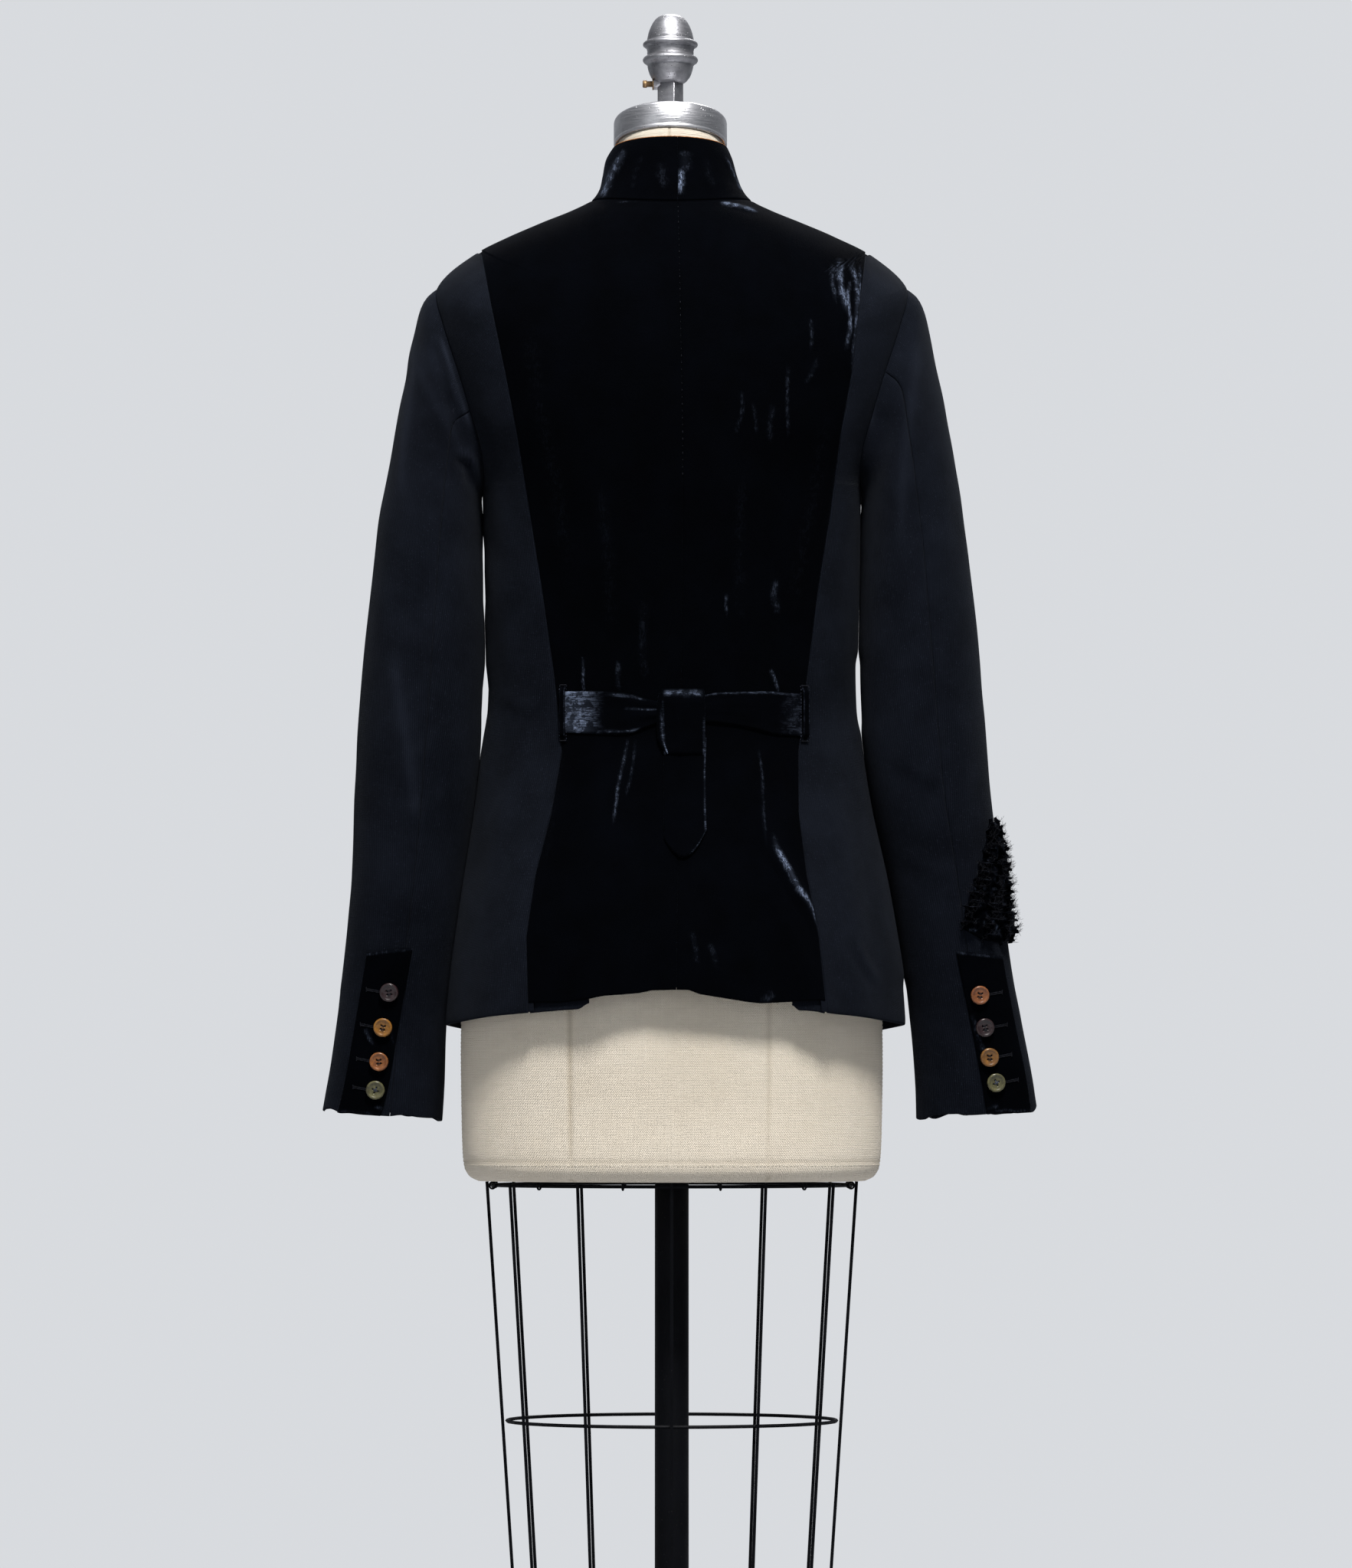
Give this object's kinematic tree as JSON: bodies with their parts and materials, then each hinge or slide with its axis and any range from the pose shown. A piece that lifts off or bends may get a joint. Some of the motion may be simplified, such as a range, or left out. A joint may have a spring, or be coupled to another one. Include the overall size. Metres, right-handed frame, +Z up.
{
  "type": "velvet and wool jacket on a dress form with stand",
  "caption": "Fitted jacket with a velvet back, funnel collar, knotted back belt and buttoned cuffs, worn by a limbless linen dress form on a pole stand with a wire skirt cage.",
  "frame": {"origin": "on the floor, on the axis of the stand's pole", "axes": "+Z up; the wearer faces -Y; the wearer's left is +X"},
  "size_m": [0.594, 0.43, 1.5791],
  "materials": {
    "velvet": "deep pile velvet",
    "wool": "matt milled wool",
    "linen": "plain weave linen",
    "neck_metal": "brushed",
    "finial_metal": "turned and worn",
    "screw_metal": "dull, rusted",
    "black_steel": "satin black",
    "base_iron": "satin black",
    "button_maroon": "polished horn look",
    "button_amber": "polished horn look",
    "button_orange": "polished horn look",
    "button_olive": "polished horn look"
  },
  "bodies": {
    "root": {"back_left": "velvet", "side_left": "wool", "front_left": "wool", "hem_facing_left": "wool", "collar_left": "velvet", "sleeve_top_left": "wool", "sleeve_under_left": "wool", "cuff_placket_left": "velvet", "belt_left": "velvet", "belt_loop_left": "velvet", "back_right": "velvet", "side_right": "wool", "front_right": "wool", "hem_facing_right": "wool", "collar_right": "velvet", "sleeve_top_right": "wool", "sleeve_under_right": "wool", "cuff_placket_right": "velvet", "belt_right": "velvet", "belt_loop_right": "velvet", "belt_knot": "velvet", "belt_end": "velvet", "sleeve_ruffle_1": "velvet", "sleeve_ruffle_2": "velvet", "sleeve_ruffle_3": "velvet", "sleeve_ruffle_4": "velvet", "button_left_1": "button_maroon", "button_left_2": "button_amber", "button_left_3": "button_orange", "button_left_4": "button_olive", "button_right_1": "button_orange", "button_right_2": "button_maroon", "button_right_3": "button_amber", "button_right_4": "button_olive", "form_torso": "linen", "form_neck_cap": "neck_metal", "form_finial": "finial_metal", "form_finial_screw": "screw_metal", "stand_pole": "black_steel", "stand_base": "base_iron", "cage_ring_rim": "black_steel", "cage_ring_middle": "black_steel", "cage_ring_foot": "black_steel", "cage_wire_1": "black_steel", "cage_wire_2": "black_steel", "cage_wire_3": "black_steel", "cage_wire_4": "black_steel", "cage_wire_5": "black_steel", "cage_wire_6": "black_steel", "cage_wire_7": "black_steel", "cage_wire_8": "black_steel", "cage_wire_9": "black_steel", "cage_wire_10": "black_steel", "cage_wire_11": "black_steel", "cage_wire_12": "black_steel"}
  },
  "joints": []
}
